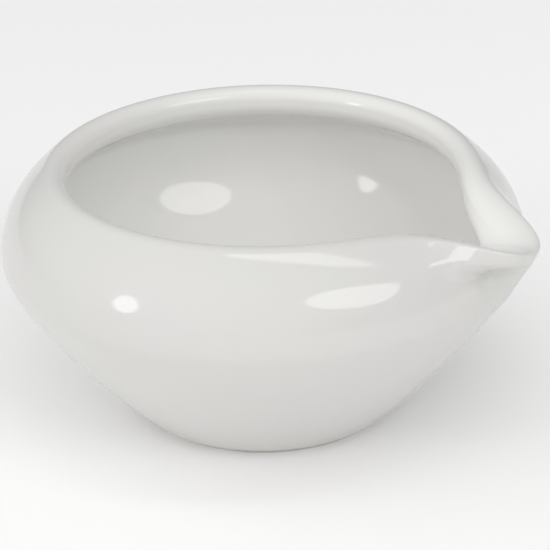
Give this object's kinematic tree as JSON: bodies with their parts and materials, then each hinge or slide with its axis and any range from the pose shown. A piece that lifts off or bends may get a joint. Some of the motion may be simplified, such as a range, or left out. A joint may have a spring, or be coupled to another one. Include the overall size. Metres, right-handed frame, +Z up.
{
  "type": "evaporating dish",
  "caption": "Squat glazed porcelain basin with an in-turned wall, a thick rounded lip, one drawn-out pouring spout and a bare flat foot.",
  "frame": {"origin": "centre of the bare foot, on the plane that the dish stands on", "axes": "+Z up along the basin's axis, +X towards the pouring spout, +Y to the left of the spout"},
  "size_m": [0.08, 0.075, 0.0369],
  "materials": {
    "bisque_porcelain": "matte",
    "white_glaze": "gloss"
  },
  "bodies": {
    "root": {"porcelain_body": "bisque_porcelain", "glaze": "white_glaze"}
  },
  "joints": []
}
